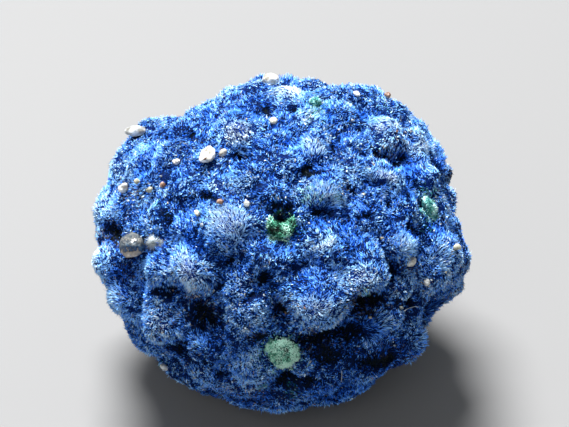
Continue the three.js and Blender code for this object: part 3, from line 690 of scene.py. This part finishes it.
def stone_material(name, pale, stain, stain_share, roughness, clear):
    """Stone with clouds of stain in it. Clear stone lets light in under its surface."""
    material, tree, shader = node_tree(name)
    where = tree.nodes.new("ShaderNodeTexCoord")
    cloud = tree.nodes.new("ShaderNodeTexNoise")
    cloud.inputs["Scale"].default_value = 2200
    cloud.inputs["Detail"].default_value = 4
    tree.links.new(where.outputs["Object"], cloud.inputs["Vector"])
    stops = [(0.34 + stain_share, stain), (0.6 + stain_share, pale)]
    tree.links.new(ramp(tree, stops, cloud.outputs["Fac"]), shader.inputs["Base Color"])
    tree.links.new(between(tree, cloud.outputs["Fac"], *roughness), shader.inputs["Roughness"])
    bump(tree, shader, cloud.outputs["Fac"], 0.6, 0.08)
    shader.inputs["Subsurface Weight"].default_value = clear
    shader.inputs["Subsurface Radius"].default_value = (1, 1, 1)
    shader.inputs["Subsurface Scale"].default_value = 0.25 * MM
    return material


azurite_ground = ground_material("azurite_ground", AZURITE_TONES, (0.6, 0.8))
# The last colour of each crystal material is its painted shade at the root
azurite_crystal = crystal_material("azurite_crystal", AZURITE_KINDS, (0.4, 0.7), (0.06, 0.10, 0.14))
malachite_stone = stone_material("malachite_stone", linear(56, 146, 126), linear(2, 24, 18),
                                 0.04, (0.5, 0.8), 0.0)
blue_green_stone = stone_material("blue_green_stone", linear(58, 138, 148), linear(12, 62, 70),
                                  0.04, (0.5, 0.8), 0.0)
malachite_crystal = crystal_material("malachite_crystal", [MALACHITE_TONES, BLUE_GREEN_TONES],
                                     (0.4, 0.7), (0.45, 0.58, 0.56))
speck_quartz = crystal_material("speck_quartz", [QUARTZ_TONES], (0.2, 0.5), (0.2, 0.2, 0.2))
QUARTZ_COLOURS = {
    "white": (linear(224, 224, 218), linear(150, 146, 136), 0.02, (0.15, 0.5)),
    "cream": (linear(190, 192, 176), linear(118, 116, 98), 0.03, (0.2, 0.5)),
    "grey": (linear(196, 202, 204), linear(120, 118, 112), 0.03, (0.1, 0.4)),
    "rust": (linear(178, 152, 134), linear(104, 70, 52), 0.06, (0.3, 0.6)),
}
quartz = {kind: stone_material(f"quartz_{kind}", *look, 0.3) for kind, look in QUARTZ_COLOURS.items()}
great_height = np.mean([np.array(corner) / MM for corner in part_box("sand_grain_great")], axis=0) @ UP
great_quartz = great_quartz_material("quartz_great", great_height - 0.8, great_height + 0.8)

# The azurite's ground
ground = new_object("azurite_ground", points, squares, [azurite_ground], {"OFBake": square_uv})
# Painted shade: the ground's tone is kept far below the crystals' tone
add_value(ground, "tone", np.clip(0.2 * tone - 0.2, -0.2, 0.1))
ground.data.polygons.foreach_set("use_smooth", np.ones(len(squares), bool))
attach(ground, "root")
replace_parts(ground, "azurite_nodule")

STAR_NODE = "sand_grain_great_neighbour"  # white needles stand in its place

# What is set in the azurite: its middle and reach, so that crystals leave it bare
sand_nodes = sorted(n for n in frame["nodes"] if n.startswith("sand_grain"))
malachite_nodes = sorted(n for n in frame["nodes"] if n.startswith("malachite"))


def middle_and_reach(node):
    low, high = (np.array(corner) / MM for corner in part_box(node))
    return (low + high) / 2, float(max(high - low)) / 2


set_in = [(*middle_and_reach(n), 1.4 if n == "sand_grain_right_hollow" else 0.85) for n in sand_nodes]
set_in += [(*middle_and_reach(n), 0.7 if n == "malachite_disc" else 0.5) for n in malachite_nodes]


def clear_of_inset(places):
    clear = np.ones(len(places), bool)
    for middle, reach, share in set_in:
        clear &= np.linalg.norm(places - middle, axis=1) > reach * share
    return clear


# Crystals

def between_corners(values, chosen, s, t):
    """Values of the grid at places in the chosen squares."""
    a, b, c, d = (values[squares[chosen, k]] for k in range(4))
    if values.ndim > 1:
        s, t = s[:, None], t[:, None]
    return a * (1 - s) * (1 - t) + b * s * (1 - t) + c * s * t + d * (1 - s) * t


def spread_over_ground(count, weight):
    """Evenly scattered places on the ground, more where weight is more."""
    a, b, c, d = (points[squares[:, k]] for k in range(4))
    area = np.linalg.norm(np.cross(c - a, d - b), axis=1) / 2
    share = area * weight[squares].mean(1)
    chosen = rng.choice(len(squares), count, p=share / share.sum())
    return chosen, rng.random(count), rng.random(count)


def blades(root, way, length, width, flatness, strip_place, root_share=0.0):
    """Three-sided blades from root along way, with (colour's place, share of length) at each corner."""
    e1 = unit(np.cross(way, rng.normal(size=way.shape)))
    e2 = np.cross(way, e1)
    turns = np.array([0, 2, 4]) * math.pi / 3
    rims = [root + width[:, None] * (math.cos(a) * e1 + flatness[:, None] * math.sin(a) * e2) for a in turns]
    corners = np.stack([*rims, root + way * length[:, None]], 1).reshape(-1, 3)
    start = np.arange(len(root))[:, None] * 4
    faces = np.concatenate([start + np.array([k, (k + 1) % 3, 3]) for k in range(3)], 1).reshape(-1, 3)
    u = np.repeat(strip_place, 9).reshape(-1, 3, 3) + np.array([-0.001, 0.001, 0.0])
    v = np.tile(np.array([0.0, 0.0, 1.0]), (len(root), 3, 1))
    v[:, :, :2] = np.reshape(root_share, (-1, 1, 1))
    return corners, faces, np.stack([u, v], -1).reshape(-1, 2)


def chips(root, way, length, width, flatness, strip_place, root_share=0.0):
    """Thin tablets that stand on edge from root along way, described as the blades are."""
    across = unit(np.cross(way, rng.normal(size=way.shape))) * width[:, None]
    slant = 0.5 * across * rng.uniform(-1, 1, len(root))[:, None]
    tip = root + way * length[:, None] + slant
    taper = flatness[:, None]
    corners = np.stack([root - across, root + across,
                        tip + across * taper, tip - across * taper], 1).reshape(-1, 3)
    faces = np.arange(len(root))[:, None] * 4 + np.arange(4)
    u = strip_place[:, None] + np.array([-0.001, 0.001, 0.001, -0.001])
    v = np.tile(np.array([0.0, 0.0, 1.0, 1.0]), (len(root), 1))
    v[:, :2] = np.reshape(root_share, (-1, 1))
    return corners, faces, np.stack([u, v], -1).reshape(-1, 2)


def blade_object(name, parts, material):
    corners, faces, places = parts
    corners[:, 2] = np.maximum(corners[:, 2], FLOOR_CLEARANCE)
    squeezed = 0.02 + 0.96 * np.clip(places, 0, 1)
    obj = new_object(name, corners, faces, [material], {"crystal": places, "OFBake": squeezed})
    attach(obj, "root")
    return obj


def far_directions(count):
    """Directions spread evenly over the ball, of which those on the far side are kept."""
    k = np.arange(count) + 0.5
    z = 1 - 2 * k / count
    turn = k * math.pi * (3 - math.sqrt(5))
    level = np.sqrt(1 - z * z)
    spread = np.stack([level * np.cos(turn), level * np.sin(turn), z], -1)
    return spread[(spread @ TO_EYE < 0.05) & (spread[:, 2] > -0.8)]


def surface_along(direction):
    hit = cad_tree.ray_cast(Vector(BALL_MIDDLE + direction * 40), Vector(-direction))
    return np.array(hit[0])


tufts = [(seen_at(right, up), radius, length) for right, up, radius, length in TUFTS]
for direction in far_directions(FAR_TUFTS):
    tufts.append((surface_along(direction), 0.9 + 0.9 * rng.random(), 0.3 + 0.15 * rng.random()))

class Felt:
    """Crystals scattered over the ground: their feet, ways, sizes and colours."""

    def __init__(self, count, length, width):
        chosen, s, t = spread_over_ground(count, np.where(bottom, 0.25, 1.0 + 0.35 * near_side))
        root = between_corners(points, chosen, s, t)
        clear = clear_of_inset(root)
        self.chosen, self.s, self.t, self.root = chosen[clear], s[clear], t[clear], root[clear]
        self.count = len(self.root)
        self.out = unit(self.at(soft_normals))
        self.length = rng.uniform(*length, self.count)
        self.width = rng.uniform(*width, self.count)
        self.lay()
        self.draw_tufts()
        self.clump_and_colour()

    def at(self, values):
        return between_corners(values, self.chosen, self.s, self.t)

    def lay(self):
        """Each lies along a flow that runs down the lumps a little, and strays from it."""
        flow = 0.9 * noise_vectors(self.root, 1.3, 50) + 0.5 * np.clip(self.at(downhill), -1, 1)
        lift = 0.15 + 0.4 * rng.random(self.count)
        stray = 0.34 - 0.14 * self.at(pale)
        self.way = unit(self.out * lift[:, None] + flow + rng.normal(size=self.root.shape) * stray[:, None])
        self.stroke = unit(flow)

    def draw_tufts(self):
        self.tufted = np.zeros(self.count)
        for middle, radius, long in tufts:
            strength = 1 - ramped(np.linalg.norm(self.root - middle, axis=1), radius * 0.5, radius)
            inside = strength > 0.02
            much = strength[inside]
            source = middle - unit(middle - BALL_MIDDLE) * radius * 1.1 - UP * radius * 0.6
            fan = unit(self.root[inside] - source) + rng.normal(size=(len(much), 3)) * 0.2
            self.way[inside] = unit(self.way[inside] * (1 - much[:, None]) + fan * much[:, None])
            self.stroke[inside] = unit(self.stroke[inside] * (1 - much[:, None]) + fan * much[:, None])
            long_ones = long * rng.uniform(0.5, 1.0, len(much))
            self.length[inside] = self.length[inside] * (1 - much) + long_ones * much
            self.width[inside] *= 1 - 0.4 * much
            self.tufted = np.maximum(self.tufted, strength)
        short_of = np.clip(0.2 - (self.way * self.out).sum(1), 0, None)
        self.way = unit(self.way + self.out * short_of[:, None])

    def clump_and_colour(self):
        """Clumps stand out of the felt, with dark gaps between them, where the crystals are also painted
        darker as shade.
        """
        at_pit = self.at(pits)
        steps = [rough_noise(self.root + self.stroke * s, 0.2, 2, 90) for s in np.linspace(-0.2, 0.2, 5)]
        clump = 1.5 * sum(steps) / len(steps) * (1 - 0.4 * self.tufted) * (1 - 0.5 * self.at(pale).clip(0, 1))
        self.length *= 1 + 0.3 * clump - 0.35 * at_pit
        self.foot = self.root + self.out * (0.13 * np.clip(clump, -0.35, 1) - 0.02)[:, None]
        unrest = np.clip(1.2 - 0.7 * self.at(deep) - 0.85 * self.at(pale), 0.2, 1.2)
        # The tone follows the clumps: paler on them, and darker in the gaps between them as painted shade
        tone_here = self.at(tone) + (0.46 * clump + 0.15 * rng.normal(size=self.count)) * unrest
        lot = rng.random(self.count)
        tone_here = np.where(lot < 0.11 * unrest, tone_here - 0.45, tone_here)
        glint = (lot > 0.998) & (at_pit < 0.4)
        tone_here = np.where(glint, 1.0, tone_here)
        self.length = np.where(glint, 0.12, self.length)
        self.foot += self.out * (0.08 * glint)[:, None]
        kind = np.zeros(self.count)
        kind = np.where(rng.random(self.count) < 0.75 * self.at(greened), 1, kind)
        kind = np.where(rng.random(self.count) < 0.75 * self.at(stained) + 0.02, 2, kind)
        self.strip_place = on_strip(kind, tone_here, len(AZURITE_KINDS))
        self.flatness = rng.uniform(0.4, 0.9, self.count)
        # In pale places the crystals' roots start partway up the painted root shade, so less of it shows
        self.root_share = 0.5 * np.clip(self.at(pale), 0, 0.8)

    def make_pieces(self, name, shape, pieces):
        tip_height = self.foot[:, 2] + self.way[:, 2] * self.length
        low = np.minimum(tip_height, self.foot[:, 2] - self.width)
        order = np.flatnonzero(low > FLOOR_CLEARANCE)
        for piece in range(pieces):
            pick = order[piece::pieces]
            parts = shape(self.foot[pick], self.way[pick], self.length[pick], self.width[pick],
                          self.flatness[pick], self.strip_place[pick], self.root_share[pick])
            blade_object(f"{name}_{piece + 1}", parts, azurite_crystal)


Felt(BLADES, (0.13, 0.34), (0.026, 0.046)).make_pieces("azurite_blades", blades, BLADE_PIECES)
Felt(CHIPS, (0.09, 0.20), (0.026, 0.055)).make_pieces("azurite_chips", chips, CHIP_PIECES)


# Sand and malachite: the CAD solids with finer surfaces

def bumped(obj, name, kind, size, strength, mid_level):
    texture = bpy.data.textures.new(f"{obj.name}_{name}", kind)
    texture.noise_scale = size * MM
    bumps = obj.modifiers.new(name, "DISPLACE")
    bumps.texture = texture
    bumps.texture_coords = "GLOBAL"
    bumps.strength = strength * MM
    bumps.mid_level = mid_level


def refine(node, material, levels, rough, chipped):
    """Smooths a CAD solid's facets away, and gives it lumps and chips in proportion to its size."""
    obj = frame["nodes"][node]
    reach = middle_and_reach(node)[1]
    obj.data.materials.clear()
    obj.data.materials.append(material)
    obj.modifiers.new("joined", "WELD").merge_threshold = 0.002 * MM
    subdivision = obj.modifiers.new("finer", "SUBSURF")
    subdivision.levels = levels
    subdivision.render_levels = levels
    bumped(obj, "lumps", "CLOUDS", reach * 0.8, reach * rough, 0.45)
    bumped(obj, "chips", "VORONOI", reach * 0.55, reach * chipped, 0.3)


WORN_GRAINS = ("sand_grain_crest", "sand_grain_left_shoulder")  # smooth, as if by water
BLUE_GREEN_NODES = ("malachite_vein", "malachite_crest")
slots = {r["node"]: r["material_slot"] for r in frame["record"]["subparts"]}
for node in sand_nodes:
    if node == "sand_grain_great":
        refine(node, great_quartz, 2, 0.25, 0.15)
    elif node in WORN_GRAINS:
        refine(node, quartz[slots[node].replace("sand_", "")], 2, 0.14, 0.05)
    elif node == "sand_grain_right_hollow":
        refine(node, quartz["white"], 2, 0.4, 0.2)
    elif node != STAR_NODE:
        refine(node, quartz[slots[node].replace("sand_", "")], 2, 0.4, 0.2)
for node in malachite_nodes:
    refine(node, blue_green_stone if node in BLUE_GREEN_NODES else malachite_stone, 2, 0.2, 0.1)


def spread_over_node(node, count):
    """Scattered places on the outer side of a CAD solid, with the way out of it at each."""
    corners, faces = mesh_of(node)
    a, b, c = (corners[faces[:, k]] for k in range(3))
    across = np.cross(b - a, c - a)
    outward = ((across * ((a + b + c) / 3 - BALL_MIDDLE)).sum(1) > 0) | (node == "malachite_pocket_lining")
    area = np.linalg.norm(across, axis=1) * outward
    chosen = rng.choice(len(faces), count, p=area / area.sum())
    s, t = rng.random(count), rng.random(count)
    over = s + t > 1
    s, t = np.where(over, 1 - s, s)[:, None], np.where(over, 1 - t, t)[:, None]
    return a[chosen] * (1 - s - t) + b[chosen] * s + c[chosen] * t, unit(across[chosen])


def fringe_of(middle, reach, count):
    """Places on the azurite around a growth, fewer further out."""
    tree = BVHTree.FromPolygons(points.tolist(), squares.tolist())
    outward = unit(middle - BALL_MIDDLE)
    sideways = unit(np.cross(rng.normal(size=(count, 3)), outward))
    away = reach * (0.75 + 0.55 * rng.random(count) ** 1.7)
    foot = middle + sideways * away[:, None]
    return np.array([tuple(tree.find_nearest(Vector(f))[0]) for f in foot]), np.tile(outward, (count, 1))


def malachite_blades():
    """Short needles that radiate over each malachite growth and a little beyond its edge."""
    reaches = [middle_and_reach(n)[1] for n in malachite_nodes]
    total = sum(r * r for r in reaches)
    parts = []
    for node, reach in zip(malachite_nodes, reaches):
        middle = middle_and_reach(node)[0]
        count = int(MALACHITE_CRYSTALS * reach * reach / total)
        crisp = node == "malachite_disc"
        on_it, outward_there = spread_over_node(node, count)
        beside, outward_beside = fringe_of(middle, reach, count // (12 if crisp else 3))
        foot, outward = np.concatenate([on_it, beside]), np.concatenate([outward_there, outward_beside])
        count = len(foot)
        fan = unit(foot - middle)
        upright, stir = (0.2, 0.05) if crisp else (0.6, 0.12)
        way = unit(outward * upright + fan * 0.5 + rng.normal(size=foot.shape) * 0.6)
        length = rng.uniform(0.12, 0.28, count) * (0.5 + 0.3 * min(reach, 1.0))
        width = rng.uniform(0.024, 0.05, count)
        clump = rough_noise(foot, 0.22 if crisp else 0.34, 2, 95)
        tone = 0.56 + 0.9 * clump + 0.2 * rng.normal(size=count)
        right, up, nearer = as_seen(foot)
        # The malachite's own flecks, with painted shade in the pocket's hollow and painted light on the disc
        for x, y, radius, much in MALACHITE_TINTS_AND_PAINTED_LIGHT:
            away = ((right - x) ** 2 + (up - y) ** 2) / radius ** 2
            tone += much * np.exp(-away) * (nearer > 0)
        if node == "malachite_pocket_lining":
            tone -= 0.1
            length *= 1.2
            width *= 1.4
        blue = (rng.random(count) < 0.65) & (node in BLUE_GREEN_NODES)
        strip_place = on_strip(blue.astype(int), tone, 2)
        parts.append((foot + outward * (stir * clump + 0.01)[:, None], way, length, width, strip_place))
    foot, way, length, width, strip_place = (np.concatenate([p[k] for p in parts]) for k in range(5))
    count = len(foot)
    return blades(foot, way, length, width, rng.uniform(0.4, 0.9, count), strip_place)


blade_object("malachite_crystals", malachite_blades(), malachite_crystal)


# Quartz specks: small broken stones in one mesh

def speck_places():
    places = [(seen_at(right, up), size, kind) for right, up, size, kind in SPECKS]
    # A dark speck as painted shade in the pierced grain's hole
    places.append((seen_at(*GRAIN_HOLE_SHADE, tree_of("sand_grain_pierced")) + TO_EYE * 0.12, 0.3, 0.0))
    weight = np.where(bottom, 0.0, 1.2 - 0.9 * near_side)
    chosen, s, t = spread_over_ground(SCATTERED_SPECKS, weight)
    for place in between_corners(points_at(cad_radii), chosen, s, t):
        kind = rng.choice([0.1, 0.5, 0.75, 0.95], p=[0.1, 0.2, 0.25, 0.45])
        places.append((place, 0.12 + 0.22 * rng.random() ** 2, kind))
    return places


def speck_object():
    """Each speck is an eight-sided stone with its corners pulled about."""
    six = np.array([(1, 0, 0), (0, 1, 0), (-1, 0, 0), (0, -1, 0), (0, 0, 1), (0, 0, -1)])
    eight = np.array([(0, 1, 4), (1, 2, 4), (2, 3, 4), (3, 0, 4), (1, 0, 5), (2, 1, 5), (3, 2, 5), (0, 3, 5)])
    corners, faces, places = [], [], []
    for place, size, kind in speck_places():
        turn = np.linalg.qr(rng.normal(size=(3, 3)))[0]
        turn *= np.sign(np.linalg.det(turn))
        stretch = size / 2 * rng.uniform(0.4, 0.95, 3)
        stone = (six * stretch + rng.normal(size=(6, 3)) * size * 0.14) @ turn
        sunk = place - unit(place - BALL_MIDDLE) * size * 0.3
        faces.append(eight + 6 * len(corners))
        corners.append(stone + sunk)
        u = on_strip(0, kind + 0.06 * rng.normal(), 1) + np.array([-0.002, 0.002, 0.0])
        places.append(np.stack([np.tile(u, (8, 1)), np.tile([0.7, 0.8, 1.0], (8, 1))], -1).reshape(-1, 2))
    return np.concatenate(corners), np.concatenate(faces), np.concatenate(places)


blade_object("quartz_specks", speck_object(), speck_quartz)


def star_object():
    """White needles that radiate from one place, and a smaller, greener spray to its right."""
    middle, reach = middle_and_reach(STAR_NODE)
    outward = unit(middle - BALL_MIDDLE)
    count, sprayed = 640, 220
    spray = np.arange(count) < sprayed
    foot = middle + outward * reach * 0.35 + np.outer(spray, RIGHT * 0.62 - UP * 0.06 - outward * 0.1)
    way = unit(rng.normal(size=(count, 3)) + outward * 0.25 + np.outer(spray, RIGHT * 0.9 - UP * 0.35))
    way *= np.sign((way @ outward) + 0.35)[:, None]
    length = rng.uniform(0.3, 0.68, count)
    width = np.where(spray, rng.uniform(0.016, 0.03, count), rng.uniform(0.018, 0.036, count))
    tone = np.where(spray, rng.uniform(0.55, 1.0, count), rng.uniform(0.85, 1.0, count))
    return blades(foot, way, length, width, np.full(count, 0.7), on_strip(0, tone, 1))


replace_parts(blade_object("quartz_star", star_object(), speck_quartz), STAR_NODE)


# Stray fibres: thin threads just above the crystals

def fibre_line(path):
    """A fibre's middle line, which spans from its one end's depth to the other's."""
    share = np.linspace(0, 1, 12)
    right, up = (np.interp(share, np.linspace(0, 1, len(path)), [place[k] for place in path])
                 for k in range(2))
    first, last = (float(as_seen(seen_at(*path[k])[None])[2][0]) for k in (0, -1))
    nearer = (first + (last - first) * share + 0.2)[:, None]
    flat = right[:, None] * RIGHT + up[:, None] * UP
    return BALL_MIDDLE + flat * (EYE_DISTANCE - nearer) / EYE_DISTANCE + TO_EYE * nearer


def tube(line, thickness, sides):
    ahead = unit(np.gradient(line, axis=0))
    across = unit(np.cross(ahead, TO_EYE))
    above = np.cross(ahead, across)
    turn = (np.arange(sides) * 2 * math.pi / sides)[:, None, None]
    rings = line + thickness * (np.cos(turn) * across + np.sin(turn) * above)
    corner = np.arange(sides * len(line)).reshape(sides, len(line))
    beside = np.roll(corner, -1, 0)
    faces = np.stack([corner[:, :-1], beside[:, :-1], beside[:, 1:], corner[:, 1:]], -1)
    return rings.reshape(-1, 3), faces.reshape(-1, 4)


def fibre_object():
    tubes = [tube(fibre_line(path), 0.018, 5) for path in STRAY_FIBRES]
    starts = np.cumsum([0] + [len(corners) for corners, _ in tubes])
    corners = np.concatenate([corners for corners, _ in tubes])
    faces = np.concatenate([faces + start for (_, faces), start in zip(tubes, starts)])
    corner_places = np.array([(0.9, 0.9), (0.902, 0.9), (0.902, 1.0), (0.9, 1.0)])
    return corners, faces, np.tile(corner_places, (len(faces), 1))


blade_object("stray_fibres", fibre_object(), speck_quartz)


# Floor, lights and camera

def area_light(name, place, size, watts, colour=(1, 1, 1)):
    data = bpy.data.lights.new(name, "AREA")
    data.shape = "DISK"
    data.size = size * MM
    data.energy = watts
    data.color = colour
    obj = bpy.data.objects.new(name, data)
    obj.location = Vector(place) * MM
    aim = Vector(BALL_MIDDLE) - Vector(place)
    obj.rotation_euler = aim.to_track_quat("-Z", "Y").to_euler()
    bpy.context.scene.collection.objects.link(obj)


floor_material, floor_tree, floor_shader = node_tree("pale_floor")
floor_shader.inputs["Base Color"].default_value = (0.19, 0.19, 0.19, 1)
floor_shader.inputs["Roughness"].default_value = 0.8
side = 1500.0
floor_corners = np.array([[-side, -side, 0], [side, -side, 0], [side, side, 0], [-side, side, 0]])
floor = new_object("floor", floor_corners, np.array([[0, 1, 2, 3]]), [floor_material])

area_light("key", (-60, 110, 340), 170, 4.5)
area_light("fill", (-60, -290, 200), 260, 0.37)
world = bpy.data.worlds.new("studio")
bpy.context.scene.world = world
world.use_nodes = True
world.node_tree.nodes["Background"].inputs["Color"].default_value = (0.9, 0.95, 1.0, 1)
world.node_tree.nodes["Background"].inputs["Strength"].default_value = 0.27

PIXELS_PER_MM = 15.08  # of the picture, at the ball's middle
camera_data = bpy.data.cameras.new("camera")
camera = bpy.data.objects.new("camera", camera_data)
bpy.context.scene.collection.objects.link(camera)
bpy.context.scene.camera = camera
camera_data.sensor_width = 36
camera_data.lens = 36 / (569 / PIXELS_PER_MM) * EYE_DISTANCE
aim = BALL_MIDDLE + RIGHT * (3.5 / PIXELS_PER_MM) + UP * (29.5 / PIXELS_PER_MM)
camera.location = Vector(aim + TO_EYE * EYE_DISTANCE) * MM
camera.rotation_euler = Vector(-TO_EYE).to_track_quat("-Z", "Y").to_euler()
camera_data.clip_start = 0.01
camera_data.clip_end = 10
bpy.context.scene.view_settings.view_transform = "Standard"
bpy.context.scene.view_settings.look = "None"
